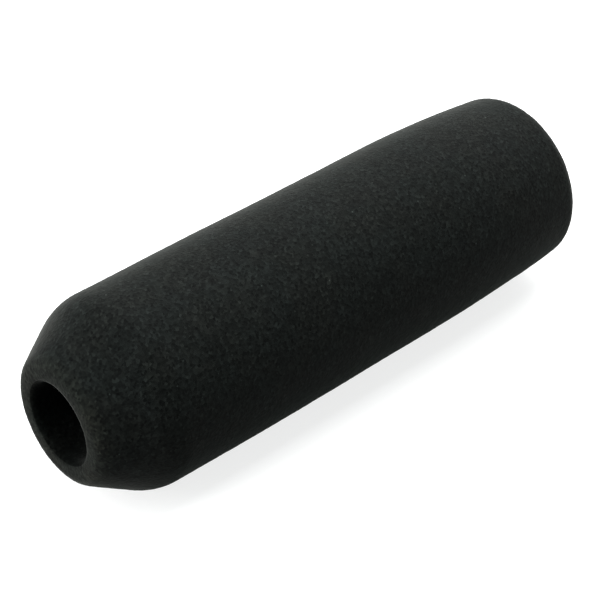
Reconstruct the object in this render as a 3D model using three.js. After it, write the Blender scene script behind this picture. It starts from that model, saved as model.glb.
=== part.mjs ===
// Slip-on foam windscreen for a slim shotgun microphone, lying on its side.
// Sizes are in millimetres. The bore's axis runs along +X, from the centre of the mouth at the origin
// to the closed tip, and +Z is up.

import * as THREE from "three";

// Driving dimensions
const length = 144.5;
const barrelRadius = 23.25;
const boreRadius = 9.4;
const boreEdgeRounding = 1.2;

// Mouth: a flat ring round the bore, then a cone that meets the barrel in a soft shoulder
const mouthRadius = 14.5;
const mouthRounding = 3.6;
const coneLength = 14.2;
const shoulderRounding = 13.8;

// Tip: the barrel eases in, turns over a small rounding and closes in a low dome
const easeLength = 40;
const easeDepth = 2.1;
const tipRounding = 3.5;
const domeHeight = 1.9;

// Foam plug that closes the far end of the bore, and the glue that holds it there
const plugLength = 18;
const fitGap = 0.3;
const glueThickness = 0.4;
const glueOuterRadius = boreRadius - fitGap;
const glueInnerRadius = glueOuterRadius - glueThickness;
const plugRadius = glueInnerRadius - fitGap;
const glueInset = 1;

// Fineness of the facets
const facetsRound = 48;
const facetsPerRounding = 5;
const stepsOfEase = 5;
const stepsOfDome = 4;

const rimRadius = barrelRadius - easeDepth;
const rimX = length - domeHeight;

// Foam that has been ground to shape, black all through, and a cured film of contact adhesive
function foamMaterial() {
  return new THREE.MeshStandardMaterial({ color: 0x1d221e, roughness: 0.97, metalness: 0 });
}

function glueMaterial() {
  return new THREE.MeshStandardMaterial({ color: 0x2b2823, roughness: 0.5, metalness: 0 });
}

// A corner of an outline: a point at x along the axis and r from it, rounded by an arc
function corner(x, r, rounding = 0) {
  return { point: new THREE.Vector2(x, r), rounding };
}

// The arc that rounds one corner, from its tangent point on the line before to the one on the line after
function roundedCorner(before, { point, rounding }, after) {
  if (rounding === 0) return [point.clone()];
  const back = before.clone().sub(point).normalize();
  const ahead = after.clone().sub(point).normalize();
  const halfAngle = Math.acos(THREE.MathUtils.clamp(back.dot(ahead), -1, 1)) / 2;
  const middle = back.clone().add(ahead).normalize();
  const centre = point.clone().addScaledVector(middle, rounding / Math.sin(halfAngle));
  const first = point.clone().addScaledVector(back, rounding / Math.tan(halfAngle)).sub(centre);
  const last = point.clone().addScaledVector(ahead, rounding / Math.tan(halfAngle)).sub(centre);
  const turn = Math.atan2(first.cross(last), first.dot(last));
  const arc = [];
  for (let i = 0; i <= facetsPerRounding; i++) {
    const angle = (turn * i) / facetsPerRounding;
    arc.push(first.clone().rotateAround(new THREE.Vector2(), angle).add(centre));
  }
  return arc;
}

// The closed outline that runs through the corners in turn
function outline(corners) {
  const points = corners.flatMap((each, i) => {
    const before = corners[(i + corners.length - 1) % corners.length].point;
    const after = corners[(i + 1) % corners.length].point;
    return roundedCorner(before, each, after);
  });
  points.push(points[0].clone());
  return points;
}

// A solid of revolution about the X axis. A flat of the facets faces down, so that the part lies still.
function turned(name, points, material) {
  const profile = points.map((p) => new THREE.Vector2(p.y, p.x));
  const geometry = new THREE.LatheGeometry(profile, facetsRound, Math.PI / facetsRound);
  geometry.rotateZ(-Math.PI / 2);
  const mesh = new THREE.Mesh(geometry, material);
  mesh.name = name;
  return mesh;
}

// Where the dome's surface is at a distance r from the axis
function domeX(r) {
  return length - domeHeight * (r / rimRadius) ** 2;
}

// Corners down the dome's surface from one distance from the axis to another
function domeCorners(fromRadius, toRadius) {
  const corners = [];
  for (let i = 0; i <= stepsOfDome; i++) {
    const r = fromRadius + ((toRadius - fromRadius) * i) / stepsOfDome;
    corners.push(corner(domeX(r), r));
  }
  return corners;
}

// Corners along the last part of the barrel, which narrows towards the tip on a parabola
function easeCorners() {
  const corners = [];
  for (let i = 0; i < stepsOfEase; i++) {
    const along = i / stepsOfEase;
    corners.push(corner(rimX - easeLength * (1 - along), barrelRadius - easeDepth * along ** 2));
  }
  return corners;
}

// The main body: mouth, cone, barrel and the outer part of the tip, with the bore right through it
function foamSleeve() {
  const points = outline([
    corner(0, boreRadius, boreEdgeRounding),
    corner(0, mouthRadius, mouthRounding),
    corner(coneLength, barrelRadius, shoulderRounding),
    ...easeCorners(),
    corner(rimX, rimRadius, tipRounding),
    ...domeCorners(rimRadius - tipRounding - 1, boreRadius),
  ]);
  return turned("foam_sleeve", points, foamMaterial());
}

// The plug: its flat inner face is the blind end of the bore, and its front carries on the dome
function nosePlug() {
  const innerX = length - plugLength;
  const points = [new THREE.Vector2(innerX, 0), new THREE.Vector2(innerX, plugRadius)];
  points.push(...domeCorners(plugRadius, 0).map((each) => each.point));
  return turned("nose_plug", points, foamMaterial());
}

// The film of adhesive round the plug, a little short of both of its ends
function glueFilm() {
  const innerX = length - plugLength + glueInset;
  const outerX = domeX(glueOuterRadius) - glueInset;
  const points = outline([
    corner(innerX, glueInnerRadius),
    corner(innerX, glueOuterRadius),
    corner(outerX, glueOuterRadius),
    corner(outerX, glueInnerRadius),
  ]);
  return turned("glue_film", points, glueMaterial());
}

const windscreen = new THREE.Group();
windscreen.add(foamSleeve(), nosePlug(), glueFilm());

export default windscreen;
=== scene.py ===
"""Foam windscreen for a shotgun microphone: the looks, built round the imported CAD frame.

Everything is in metres in the frame of the CAD part: the bore runs along +X from the mouth at the
origin to the closed tip, and +Z is up, with the windscreen lying on its side.
"""

import math

import bpy
import numpy as np
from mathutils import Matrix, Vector, noise


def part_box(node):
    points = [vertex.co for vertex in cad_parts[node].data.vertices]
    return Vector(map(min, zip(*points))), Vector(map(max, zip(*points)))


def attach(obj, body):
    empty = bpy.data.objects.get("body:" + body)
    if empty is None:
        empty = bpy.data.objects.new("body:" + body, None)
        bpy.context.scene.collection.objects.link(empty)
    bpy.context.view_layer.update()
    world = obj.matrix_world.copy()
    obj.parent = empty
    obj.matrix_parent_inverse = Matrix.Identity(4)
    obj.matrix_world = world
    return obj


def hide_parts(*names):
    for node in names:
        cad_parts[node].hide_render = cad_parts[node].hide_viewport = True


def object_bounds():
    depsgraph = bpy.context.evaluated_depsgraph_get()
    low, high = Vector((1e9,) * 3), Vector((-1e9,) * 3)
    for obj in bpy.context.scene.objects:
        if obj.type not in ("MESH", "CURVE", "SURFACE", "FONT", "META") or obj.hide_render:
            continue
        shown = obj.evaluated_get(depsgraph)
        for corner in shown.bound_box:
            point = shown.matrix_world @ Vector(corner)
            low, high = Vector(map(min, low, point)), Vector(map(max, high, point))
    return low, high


MM = 0.001

# The foam body, as the CAD part gives it
CAD_FACETS_ROUND = 48
BORE_RADIUS = 9.4 * MM
BORE_EDGE_ROUNDING = 1.2 * MM
MOUTH_RADIUS = 14.5 * MM
MOUTH_ROUNDING = 3.6 * MM
CONE_LENGTH = 14.2 * MM
SHOULDER_ROUNDING = 13.8 * MM
EASE_LENGTH = 40 * MM
EASE_DEPTH = 2.1 * MM
TIP_ROUNDING = 3.5 * MM
TIP_CORNER = 3.6 * MM
DOME_HEIGHT = 1.9 * MM

# The plug's seat in the foam, which is narrower than the bore and flares out to it at its inner end
SEAT_RADIUS = BORE_RADIUS - 0.28 * MM
SEAT_EDGE_INSET = 0.4 * MM
SEAT_EDGE_ROUNDING = 0.3 * MM
SEAT_FLARE = 3 * MM

# The plug and its glue, which the foam closes on more tightly than the CAD's clearances
GLUE_OUTER_RADIUS = SEAT_RADIUS - 0.02 * MM
GLUE_INNER_RADIUS = GLUE_OUTER_RADIUS - 0.18 * MM
GLUE_RECESS = 0.35 * MM
GLUE_INSET = 1 * MM
PLUG_RADIUS = GLUE_INNER_RADIUS - 0.02 * MM
PLUG_EDGE_ROUNDING = 0.5 * MM
PLUG_CORNER = 1 * MM

# How many points draw each rounding, the dome and the ease, before they are spaced out evenly, and the
# radius under which a point counts as on the axis
STEPS_OF_ROUNDING = 24
STEPS_OF_DOME = 12
STEPS_OF_EASE = 24
ON_AXIS = 1e-9

# The mouth is cut a little out of square, and its hole is a little off centre and oval, which dies away
# inside. Directions are angles from +Z towards +Y.
MOUTH_SLANT = 0.022
MOUTH_SLANT_TOWARDS = math.radians(20.7)
HOLE_OFF_CENTRE = (0.22 * MM, 0.08 * MM)
HOLE_OVAL = 0.025
HOLE_OVAL_TOWARDS = math.radians(60)
HOLE_RING_WIDTH = 2.5 * MM
ASKEW_REACH = 35 * MM

# Low swells and hollows of the ground surface: x, degrees from +Z towards +Y, height and reach
SWELLS = (
    (50 * MM, 226, 0.25 * MM, 26 * MM),
    (117 * MM, 226, -0.26 * MM, 13 * MM),
    (50 * MM, 46, 0.14 * MM, 18 * MM),
    (117 * MM, 46, 0.18 * MM, 26 * MM),
    (7 * MM, 65, 0.28 * MM, 9 * MM),
)
OVERSIZE = 0.02 * MM

# Spacing of the mesh's points, and how uneven the ground foam is: waves as size and height, then pits
POINT_SPACING = 0.68 * MM
WAVES = ((12 * MM, 0.035 * MM), (3.5 * MM, 0.03 * MM), (1.4 * MM, 0.03 * MM))
PIT_SPACING = 0.5 * MM
PIT_DEPTH = 0.09 * MM

# Painted shade inside the bore: how dark the bored wall's shaded copy of the foam is, and how far out
# it reaches
BORE_PAINTED_SHADE = 0.38
BORE_PAINTED_SHADE_EDGE = 0.45 * MM

# The knife-cut ring of the mouth, which faces the light, gets painted light and a warmer tint against
# the ground foam and the bore
CUT_RING_LIGHT_AND_TINT = (1.78, 1.66, 1.48, 1)
CUT_RING_ENDS = 0.3 * MM
GROUND_FOAM_BEGINS = 2.8 * MM
HOLE_EDGE_WIDTH = 1.5 * MM

# The sizes of what shows in the foam, from its pores to its cloudiness
CELL_SIZE = 0.61 * MM
GRAIN_SIZE = 0.9 * MM
PATCH_SIZE = 2.0 * MM
CLOUD_SIZE = 9 * MM
PAINTED_GLINT_SPACING = 2.4 * MM

# Where the pores and the strut ends' painted glints begin and end, as distances from a cell's heart in
# cells
PORE_SPAN = (0.1, 0.8)
PAINTED_GLINT_SPAN = (0.04, 0.11)

# The random numbers between which strut ends get a painted glint and clouds turn from cool to warm
PAINTED_GLINT_CHANCE = (0.7, 1.0)
CLOUD_SPAN = (0.4, 0.6)

# How much each lightens the foam, with painted shade in pore hearts and painted glints, and the foam's
# colours
CELL_WEIGHT = 0.18
PORE_HEART_SHADE_WEIGHT = 0.17
PATCH_WEIGHT = 0.3
PAINTED_GLINT_WEIGHT = 4.0
TONE_TAKEN_OFF = 0.14
FOAM_DARK = (0.0002, 0.0003, 0.0003)
FOAM_COOL = (0.0047, 0.0058, 0.0054)
FOAM_WARM = (0.0050, 0.0057, 0.0051)

# The foam's finish
FOAM_BUMP = 0.25
FOAM_BUMP_DEPTH = 0.1 * MM
FOAM_BUMP_GRAIN = 1.2
FOAM_ROUGHNESS = 0.9
FOAM_SPECULAR = 0.045
FOAM_SPECULAR_TINT = (0.94, 1.0, 0.98, 1)
FOAM_SHEEN = 0.1
FOAM_SHEEN_ROUGHNESS = 0.36
FOAM_SHEEN_TINT = (1.0, 1.0, 0.95, 1)

# The glue's lumps, colours and finish
GLUE_LUMP_SIZE = 0.8 * MM
GLUE_LUMP_SPAN = (0.2, 0.8)
GLUE_DARK = (0.006, 0.005, 0.004, 1)
GLUE_PALE = (0.016, 0.014, 0.011, 1)
GLUE_ROUGHNESS = (0.35, 0.6)
GLUE_BUMP = 0.4
GLUE_BUMP_DEPTH = 0.1 * MM

# Camera: how far round from the side and how high it looks from, what it looks at, and its lens
CAMERA_AZIMUTH = -42.2
CAMERA_ELEVATION = 37.4
CAMERA_AIM = (0.0679, -0.0023, 0.0)
CAMERA_DISTANCE = 0.4635
CAMERA_LENS_MM = 120
CAMERA_SENSOR_MM = 36
CAMERA_NEAREST = 0.01

# Studio: soft boxes as azimuth from +X towards +Y, elevation and watts, all aimed at the object
SOFT_BOXES = {
    "left_box": (160, 40, 7.6),
    "right_box": (30, 40, 7.4),
    "top_box": (0, 85, 9.0),
    "tip_box": (0, 15, 3.1),
    "mouth_box": (170, 15, 2.6),
}
BOX_SIZE = 0.5
BOX_DISTANCE = 0.7
ROOM_LIGHT = (0.07, 0.155, 0.13, 1)
WHITE = (1, 1, 1, 1)

# The table top, which the camera sees glow more and more with the distance from the object
FLOOR_REACH = 4.0
FLOOR_COLOUR = (0.27, 0.27, 0.27, 1)
FLOOR_ROUGHNESS = 0.9
FLOOR_GLOW_SPAN = (0.12, 0.45)
FLOOR_GLOW = (0.8, 1.0)

# A Mix node's sockets for colours, which share their names with those for numbers and vectors
MIX_SHARE = 0
MIX_FROM = 6
MIX_TO = 7
MIX_RESULT = 2


def rounded_corner(before, point, rounding, after):
    """Points of the arc that rounds one corner of an outline, or the corner itself if it is sharp."""
    if rounding == 0:
        return [point]
    back = (before - point) / np.linalg.norm(before - point)
    ahead = (after - point) / np.linalg.norm(after - point)
    half_angle = math.acos(float(np.clip(back @ ahead, -1, 1))) / 2
    middle = (back + ahead) / np.linalg.norm(back + ahead)
    centre = point + middle * rounding / math.sin(half_angle)
    first = point + back * rounding / math.tan(half_angle) - centre
    last = point + ahead * rounding / math.tan(half_angle) - centre
    turn = math.atan2(first[0] * last[1] - first[1] * last[0], first @ last)
    arc = []
    for angle in np.linspace(0, turn, STEPS_OF_ROUNDING):
        c, s = math.cos(angle), math.sin(angle)
        arc.append(centre + np.array([c * first[0] - s * first[1], s * first[0] + c * first[1]]))
    return arc


def outline(corners, closed=True):
    """The points (x, r) of an outline through corners given as (x, r, rounding)."""
    places = [np.array(each[:2], float) for each in corners]
    points = []
    for i, (place, each) in enumerate(zip(places, corners)):
        before = places[i - 1]
        after = places[(i + 1) % len(places)]
        points += rounded_corner(before, place, each[2], after)
    if closed:
        points.append(points[0])
    return np.array(points)


def evenly_spaced(points):
    """The same line with its points moved to equal steps of about POINT_SPACING."""
    steps = np.linalg.norm(np.diff(points, axis=0), axis=1)
    along = np.concatenate([[0], np.cumsum(steps)])
    count = max(2, round(along[-1] / POINT_SPACING))
    wanted = np.linspace(0, along[-1], count + 1)
    return np.stack([np.interp(wanted, along, points[:, k]) for k in range(2)], axis=1)


class Shape:
    """The windscreen's outlines, worked out from the boxes of the CAD nodes."""

    def __init__(self):
        self.plug_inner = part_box("nose_plug")[0][0]
        self.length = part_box("nose_plug")[1][0]
        self.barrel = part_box("foam_sleeve")[1][2] / math.cos(math.pi / CAD_FACETS_ROUND)
        self.rim_x = self.length - DOME_HEIGHT
        self.rim = self.barrel - EASE_DEPTH

    def dome_x(self, r):
        return self.length - DOME_HEIGHT * (r / self.rim) ** 2

    def dome(self, from_radius, to_radius):
        return [(self.dome_x(r), r, 0) for r in np.linspace(from_radius, to_radius, STEPS_OF_DOME)]

    def ease(self):
        """The barrel's slow narrowing, up to where the tip's rounding takes over."""
        steps = np.linspace(0, 1 - TIP_CORNER / EASE_LENGTH, STEPS_OF_EASE)
        return [(self.rim_x - EASE_LENGTH * (1 - t), self.barrel - EASE_DEPTH * t**2, 0) for t in steps]

    def sleeve(self):
        return outline(
            [
                (0, BORE_RADIUS, BORE_EDGE_ROUNDING),
                (0, MOUTH_RADIUS, MOUTH_ROUNDING),
                (CONE_LENGTH, self.barrel, SHOULDER_ROUNDING),
                *self.ease(),
                (self.rim_x, self.rim, TIP_ROUNDING),
                *self.dome(self.rim - TIP_CORNER, SEAT_RADIUS + SEAT_EDGE_INSET),
                (self.dome_x(SEAT_RADIUS), SEAT_RADIUS, SEAT_EDGE_ROUNDING),
                (self.plug_inner + SEAT_FLARE, SEAT_RADIUS, 0),
                (self.plug_inner, BORE_RADIUS, 0),
            ]
        )

    def plug(self):
        return outline(
            [
                (self.plug_inner, 0, 0),
                (self.plug_inner, PLUG_RADIUS, PLUG_EDGE_ROUNDING),
                (self.dome_x(PLUG_RADIUS), PLUG_RADIUS, PLUG_EDGE_ROUNDING),
                *self.dome(PLUG_RADIUS - PLUG_CORNER, 0),
            ],
            closed=False,
        )

    def glue(self):
        back = self.plug_inner + GLUE_INSET
        front = self.dome_x(SEAT_RADIUS) - GLUE_RECESS
        return outline(
            [
                (back, GLUE_INNER_RADIUS, 0),
                (back, GLUE_OUTER_RADIUS, 0),
                (front, GLUE_OUTER_RADIUS, 0),
                (front, GLUE_INNER_RADIUS, 0),
            ]
        )


def mesh_object(name, points, faces):
    mesh = bpy.data.meshes.new(name)
    mesh.from_pydata(points, [], faces)
    mesh.update()
    thing = bpy.data.objects.new(name, mesh)
    bpy.context.scene.collection.objects.link(thing)
    return thing


def pole_faces(columns, ring_count):
    """Triangles that close both ends, round the two poles that follow the last ring's points."""
    here = np.arange(columns)
    beyond = np.roll(here, -1)
    first = ring_count * columns
    last = first + 1
    end = first - columns
    faces = [[first, int(p), int(q)] for p, q in zip(here, beyond)]
    faces += [[last, int(end + q), int(end + p)] for p, q in zip(here, beyond)]
    return faces


def turned(name, profile, columns):
    """A closed mesh of revolution about X. A profile that starts and ends on the axis gets poles."""
    on_axis = profile[0][1] < ON_AXIS
    rings = profile[1:-1] if on_axis else profile[:-1]
    count = len(rings)
    x = np.repeat(rings[:, 0], columns)
    r = np.repeat(rings[:, 1], columns)
    phi = np.tile(np.arange(columns) * 2 * math.pi / columns, count)
    points = np.stack([x, r * np.sin(phi), r * np.cos(phi)], axis=1)
    here = np.arange(columns)
    beyond = np.roll(here, -1)
    faces = []
    for i in range(count - 1 if on_axis else count):
        a = i * columns
        b = ((i + 1) % count) * columns
        faces += np.stack([a + here, b + here, b + beyond, a + beyond], axis=1).tolist()
    if on_axis:
        poles = np.array([[profile[0][0], 0, 0], [profile[-1][0], 0, 0]])
        points = np.concatenate([points, poles])
        faces += pole_faces(columns, count)
    return mesh_object(name, points.tolist(), faces)


def mesh_points(mesh):
    flat = np.empty(len(mesh.vertices) * 3)
    mesh.vertices.foreach_get("co", flat)
    return flat.reshape(-1, 3)


def mesh_normals(mesh):
    flat = np.empty(len(mesh.vertices) * 3)
    mesh.vertex_normals.foreach_get("vector", flat)
    return flat.reshape(-1, 3)


def set_points(mesh, points):
    mesh.vertices.foreach_set("co", points.ravel())
    mesh.update()


def set_mouth_askew(piece):
    """Slants the mouth, its top inwards and its bottom outwards, and shifts and stretches its hole."""
    points = mesh_points(piece.data)
    fade = np.clip(1 - points[:, 0] / ASKEW_REACH, 0, 1)
    up, sideways = math.cos(MOUTH_SLANT_TOWARDS), math.sin(MOUTH_SLANT_TOWARDS)
    side = points[:, 2] * up + points[:, 1] * sideways
    outside_hole = (np.hypot(points[:, 1], points[:, 2]) - BORE_RADIUS) / HOLE_RING_WIDTH
    in_hole = (fade * np.clip(1 - outside_hole, 0, 1))[:, None]
    long_way = np.array([math.sin(HOLE_OVAL_TOWARDS), math.cos(HOLE_OVAL_TOWARDS)])
    across = points[:, 1:]
    stretch = HOLE_OVAL * (2 * np.outer(across @ long_way, long_way) - across)
    points[:, 0] += MOUTH_SLANT * side * fade
    points[:, 1:] += in_hole * (stretch + HOLE_OFF_CENTRE)
    set_points(piece.data, points)


def swell_heights(points, barrel_radius):
    """How far the low swells lift each point."""
    heights = np.full(len(points), OVERSIZE)
    for x, turn, height, reach in SWELLS:
        a = math.radians(turn)
        middle = np.array([x, barrel_radius * math.sin(a), barrel_radius * math.cos(a)])
        distance = np.linalg.norm(points - middle, axis=1)
        heights += height * np.exp(-((distance / reach) ** 2))
    return heights


def foam_height(point):
    """How far the foam stands out at a point: soft waves, less a pit at the heart of each cell."""
    place = Vector(point)
    height = sum(depth * noise.noise(place / size) for size, depth in WAVES)
    nearest = noise.voronoi(place / PIT_SPACING)[0][0]
    return height - PIT_DEPTH * (1 - min(nearest, 1.0))


def roughen(piece, barrel_radius):
    """Gives the mesh the uneven, pitted surface of ground open-cell foam."""
    points = mesh_points(piece.data)
    normals = mesh_normals(piece.data)
    grain = np.array([foam_height(p) for p in points])
    heights = grain - grain.mean() + swell_heights(points, barrel_radius)
    set_points(piece.data, points + normals * heights[:, None])


def smooth(piece):
    piece.data.polygons.foreach_set("use_smooth", [True] * len(piece.data.polygons))


class Nodes:
    """Short ways to add and join the shader nodes of a material or a world."""

    def __init__(self, owner):
        owner.use_nodes = True
        self.owner = owner
        self.tree = owner.node_tree
        self.shader = self.tree.nodes.get("Principled BSDF") or self.tree.nodes["Background"]

    def add(self, kind, links=None, **settings):
        node = self.tree.nodes.new(kind)
        for key, value in settings.items():
            setattr(node, key, value)
        for key, value in (links or {}).items():
            self.put(node, key, value)
        return node

    def put(self, node, key, value):
        """Joins a socket to another node's output, or sets its own value."""
        socket = node.inputs[key]
        if isinstance(value, bpy.types.NodeSocket):
            self.tree.links.new(value, socket)
        else:
            socket.default_value = value

    def place(self):
        return self.add("ShaderNodeTexCoord").outputs["Object"]

    def math(self, operation, a, b, c=0.0):
        return self.add("ShaderNodeMath", {0: a, 1: b, 2: c}, operation=operation).outputs[0]

    def vector_math(self, operation, a, b=(0, 0, 0)):
        return self.add("ShaderNodeVectorMath", {0: a, 1: b}, operation=operation).outputs

    def remap(self, value, span, low, high):
        """Takes the value from low to high as it crosses the span, and no further."""
        start, end = span
        links = {"Value": value, "From Min": start, "From Max": end, "To Min": low, "To Max": high}
        return self.add("ShaderNodeMapRange", links).outputs["Result"]

    def noise(self, coords, size, detail):
        links = {"Vector": coords, "Scale": 1 / size, "Detail": detail}
        return self.add("ShaderNodeTexNoise", links).outputs["Fac"]

    def cells(self, coords, size):
        """The distance from the nearest cell's heart, and that cell's three random numbers."""
        cells = self.add("ShaderNodeTexVoronoi", {"Vector": coords, "Scale": 1 / size}).outputs
        numbers = self.add("ShaderNodeSeparateColor", {"Color": cells["Color"]}).outputs
        return cells["Distance"], numbers

    def mix(self, share, a, b):
        """Goes from colour a to colour b, and beyond them for shares under 0 or over 1."""
        links = {MIX_SHARE: share, MIX_FROM: a, MIX_TO: b}
        node = self.add("ShaderNodeMix", links, data_type="RGBA", clamp_factor=False)
        return node.outputs[MIX_RESULT]

    def bump(self, height, strength, distance):
        links = {"Height": height, "Strength": strength, "Distance": distance}
        self.put(self.shader, "Normal", self.add("ShaderNodeBump", links).outputs["Normal"])


def cut_ring_light_and_tint(n, coords):
    """The painted light and warmer tint of the mouth's cut ring, which die away outwards and towards
    the hole.
    """
    along = n.add("ShaderNodeSeparateXYZ", {"Vector": coords}).outputs["X"]
    across = n.vector_math("MULTIPLY", coords, (0, 1, 1))["Vector"]
    radius = n.vector_math("LENGTH", across)["Value"]
    ring = n.remap(radius, (BORE_RADIUS, BORE_RADIUS + HOLE_EDGE_WIDTH), 0.0, 1.0)
    share = n.remap(along, (CUT_RING_ENDS, GROUND_FOAM_BEGINS), ring, 0.0)
    return n.mix(share, WHITE, CUT_RING_LIGHT_AND_TINT)


def painted_glints(n, coords):
    """Painted glints: 1 at the few strut ends painted as catching the light, and 0 elsewhere."""
    distance, numbers = n.cells(coords, PAINTED_GLINT_SPACING)
    glinting = n.remap(numbers[1], PAINTED_GLINT_CHANCE, 0.0, 1.0)
    return n.math("MULTIPLY", glinting, n.remap(distance, PAINTED_GLINT_SPAN, 1.0, 0.0))


def foam_tone(n, coords, numbers, pore):
    """How light the foam is: cells each of their own tone, painted shade in pores, patches and painted
    glints at strut ends.
    """
    cell = n.math("ADD", n.math("ADD", numbers[0], numbers[1]), numbers[2])
    tone = n.math("MULTIPLY", n.math("POWER", cell, 2.0), CELL_WEIGHT)
    # Painted shade: the foam is darker at the hearts of the pores
    tone = n.math("MULTIPLY_ADD", pore, PORE_HEART_SHADE_WEIGHT, tone)
    tone = n.math("MULTIPLY_ADD", n.noise(coords, PATCH_SIZE, detail=1.0), PATCH_WEIGHT, tone)
    tone = n.math("MAXIMUM", n.math("SUBTRACT", tone, TONE_TAKEN_OFF), 0.0)
    return n.math("MULTIPLY_ADD", painted_glints(n, coords), PAINTED_GLINT_WEIGHT, tone)


def shaded(colour, shade):
    return (*(part * shade for part in colour), 1)


def foam_material(name, shade):
    """Black open-cell foam, cool in some clouds and warm in others; a shade under 1 makes a darker copy
    with painted shade.
    """
    n = Nodes(bpy.data.materials.new(name))
    coords = n.place()
    distance, numbers = n.cells(coords, CELL_SIZE)
    pore = n.remap(distance, PORE_SPAN, 0.0, 1.0)
    tone = foam_tone(n, coords, numbers, pore)
    dark = shaded(FOAM_DARK, shade)
    cool = n.mix(tone, dark, shaded(FOAM_COOL, shade))
    warm = n.mix(tone, dark, shaded(FOAM_WARM, shade))
    cloud = n.remap(n.noise(coords, CLOUD_SIZE, detail=2.0), CLOUD_SPAN, 0.0, 1.0)
    # Painted light: the mouth's cut ring is lightened, and warmed, in the base colour
    tinted_and_ring_lit = n.vector_math("MULTIPLY", n.mix(cloud, cool, warm), cut_ring_light_and_tint(n, coords))
    n.put(n.shader, "Base Color", tinted_and_ring_lit["Vector"])
    grain = n.noise(coords, GRAIN_SIZE, detail=1.0)
    n.bump(n.math("MULTIPLY_ADD", grain, FOAM_BUMP_GRAIN, pore), FOAM_BUMP, FOAM_BUMP_DEPTH)
    n.put(n.shader, "Roughness", FOAM_ROUGHNESS)
    n.put(n.shader, "Specular IOR Level", FOAM_SPECULAR * shade)
    n.put(n.shader, "Specular Tint", FOAM_SPECULAR_TINT)
    n.put(n.shader, "Sheen Weight", FOAM_SHEEN * shade)
    n.put(n.shader, "Sheen Roughness", FOAM_SHEEN_ROUGHNESS)
    n.put(n.shader, "Sheen Tint", FOAM_SHEEN_TINT)
    return n.owner


def glue_material():
    """Cured contact adhesive: brown-black, uneven and slightly shiny."""
    n = Nodes(bpy.data.materials.new("contact_adhesive"))
    lumps = n.noise(n.place(), GLUE_LUMP_SIZE, detail=2.0)
    n.put(n.shader, "Base Color", n.mix(lumps, GLUE_DARK, GLUE_PALE))
    n.put(n.shader, "Roughness", n.remap(lumps, GLUE_LUMP_SPAN, *GLUE_ROUGHNESS))
    n.bump(lumps, GLUE_BUMP, GLUE_BUMP_DEPTH)
    return n.owner


def paint_bore_shade(sleeve):
    """Paints shade into the bore: gives the faces of the bored wall a darker, shaded copy of the foam.
    """
    sleeve.data.materials.append(foam_material("bore_shaded_foam", BORE_PAINTED_SHADE))
    for face in sleeve.data.polygons:
        if math.hypot(face.center.y, face.center.z) < BORE_RADIUS + BORE_PAINTED_SHADE_EDGE:
            face.material_index = 1


def add_pieces():
    """The three pieces, each in place of its CAD node; the two thin ones need half as many columns."""
    shape = Shape()
    foam = foam_material("black_foam", shade=1.0)
    columns = round(2 * math.pi * shape.barrel / POINT_SPACING)
    sleeve = turned("windscreen_foam", evenly_spaced(shape.sleeve()), columns)
    plug = turned("windscreen_plug", evenly_spaced(shape.plug()), columns // 2)
    glue = turned("windscreen_glue", evenly_spaced(shape.glue()), columns // 2)
    for piece, node, material, slot in (
        (sleeve, "foam_sleeve", foam, "foam"),
        (plug, "nose_plug", foam, "foam"),
        (glue, "glue_film", glue_material(), "adhesive"),
    ):
        piece.data.materials.append(material)
        smooth(piece)
        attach(piece, "root")
        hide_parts(node)
    paint_bore_shade(sleeve)
    set_mouth_askew(sleeve)
    for piece in (sleeve, plug):
        roughen(piece, shape.barrel)


def add_camera():
    data = bpy.data.cameras.new("camera")
    data.lens = CAMERA_LENS_MM
    data.sensor_width = CAMERA_SENSOR_MM
    data.clip_start = CAMERA_NEAREST
    camera = bpy.data.objects.new("camera", data)
    azimuth = math.radians(CAMERA_AZIMUTH)
    elevation = math.radians(CAMERA_ELEVATION)
    ahead = Vector(
        (
            -math.sin(azimuth) * math.cos(elevation),
            math.cos(azimuth) * math.cos(elevation),
            -math.sin(elevation),
        )
    )
    camera.location = Vector(CAMERA_AIM) - ahead * CAMERA_DISTANCE
    camera.rotation_euler = ahead.to_track_quat("-Z", "Y").to_euler()
    bpy.context.scene.collection.objects.link(camera)
    bpy.context.scene.camera = camera


def seen_by_camera(n):
    """1 where the camera itself looks, 0 where the light falls on other things."""
    return n.add("ShaderNodeLightPath").outputs["Is Camera Ray"]


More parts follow.
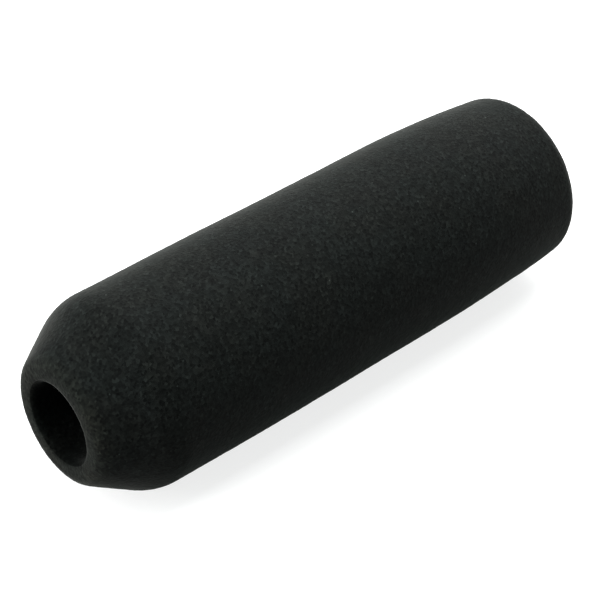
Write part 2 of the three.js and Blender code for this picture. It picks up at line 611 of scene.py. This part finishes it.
def add_floor(below):
    """A wide pale table top, whose shadows the camera sees washed out by the bright studio."""
    low, high = -FLOOR_REACH, FLOOR_REACH
    corners = [(low, low, 0), (high, low, 0), (high, high, 0), (low, high, 0)]
    floor = mesh_object("floor", corners, [(0, 1, 2, 3)])
    floor.location = below
    n = Nodes(bpy.data.materials.new("pale_table"))
    n.put(n.shader, "Base Color", FLOOR_COLOUR)
    n.put(n.shader, "Roughness", FLOOR_ROUGHNESS)
    n.put(n.shader, "Specular IOR Level", 0.0)
    n.put(n.shader, "Emission Color", WHITE)
    away = n.vector_math("LENGTH", n.place())["Value"]
    glow = n.remap(away, FLOOR_GLOW_SPAN, *FLOOR_GLOW)
    n.put(n.shader, "Emission Strength", n.math("MULTIPLY", seen_by_camera(n), glow))
    floor.data.materials.append(n.owner)


def add_soft_box(name, azimuth, elevation, watts, target):
    data = bpy.data.lights.new(name, "AREA")
    data.shape = "SQUARE"
    data.size = BOX_SIZE
    data.energy = watts
    lamp = bpy.data.objects.new(name, data)
    a, e = math.radians(azimuth), math.radians(elevation)
    direction = Vector((math.cos(e) * math.cos(a), math.cos(e) * math.sin(a), math.sin(e)))
    lamp.location = target + direction * BOX_DISTANCE
    lamp.rotation_euler = (-direction).to_track_quat("-Z", "Y").to_euler()
    bpy.context.scene.collection.objects.link(lamp)


def add_studio(target):
    """Soft boxes all round the object, in a dim room that the camera sees as a white backdrop."""
    n = Nodes(bpy.data.worlds.new("studio"))
    n.put(n.shader, "Strength", 1.0)
    n.put(n.shader, "Color", n.mix(seen_by_camera(n), ROOM_LIGHT, WHITE))
    bpy.context.scene.world = n.owner
    for name, (azimuth, elevation, watts) in SOFT_BOXES.items():
        add_soft_box(name, azimuth, elevation, watts, target)
    bpy.context.scene.view_settings.view_transform = "Standard"


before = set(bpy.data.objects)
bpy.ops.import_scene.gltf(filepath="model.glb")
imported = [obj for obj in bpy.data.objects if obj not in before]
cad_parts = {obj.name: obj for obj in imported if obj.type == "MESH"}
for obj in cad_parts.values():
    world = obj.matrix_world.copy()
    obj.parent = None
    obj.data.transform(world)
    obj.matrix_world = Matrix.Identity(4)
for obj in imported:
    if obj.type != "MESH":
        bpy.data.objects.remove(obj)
cad_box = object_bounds()
add_camera()
add_pieces()
middle = (Vector(cad_box[0]) + Vector(cad_box[1])) / 2
add_floor((middle.x, middle.y, cad_box[0][2]))
add_studio(middle)
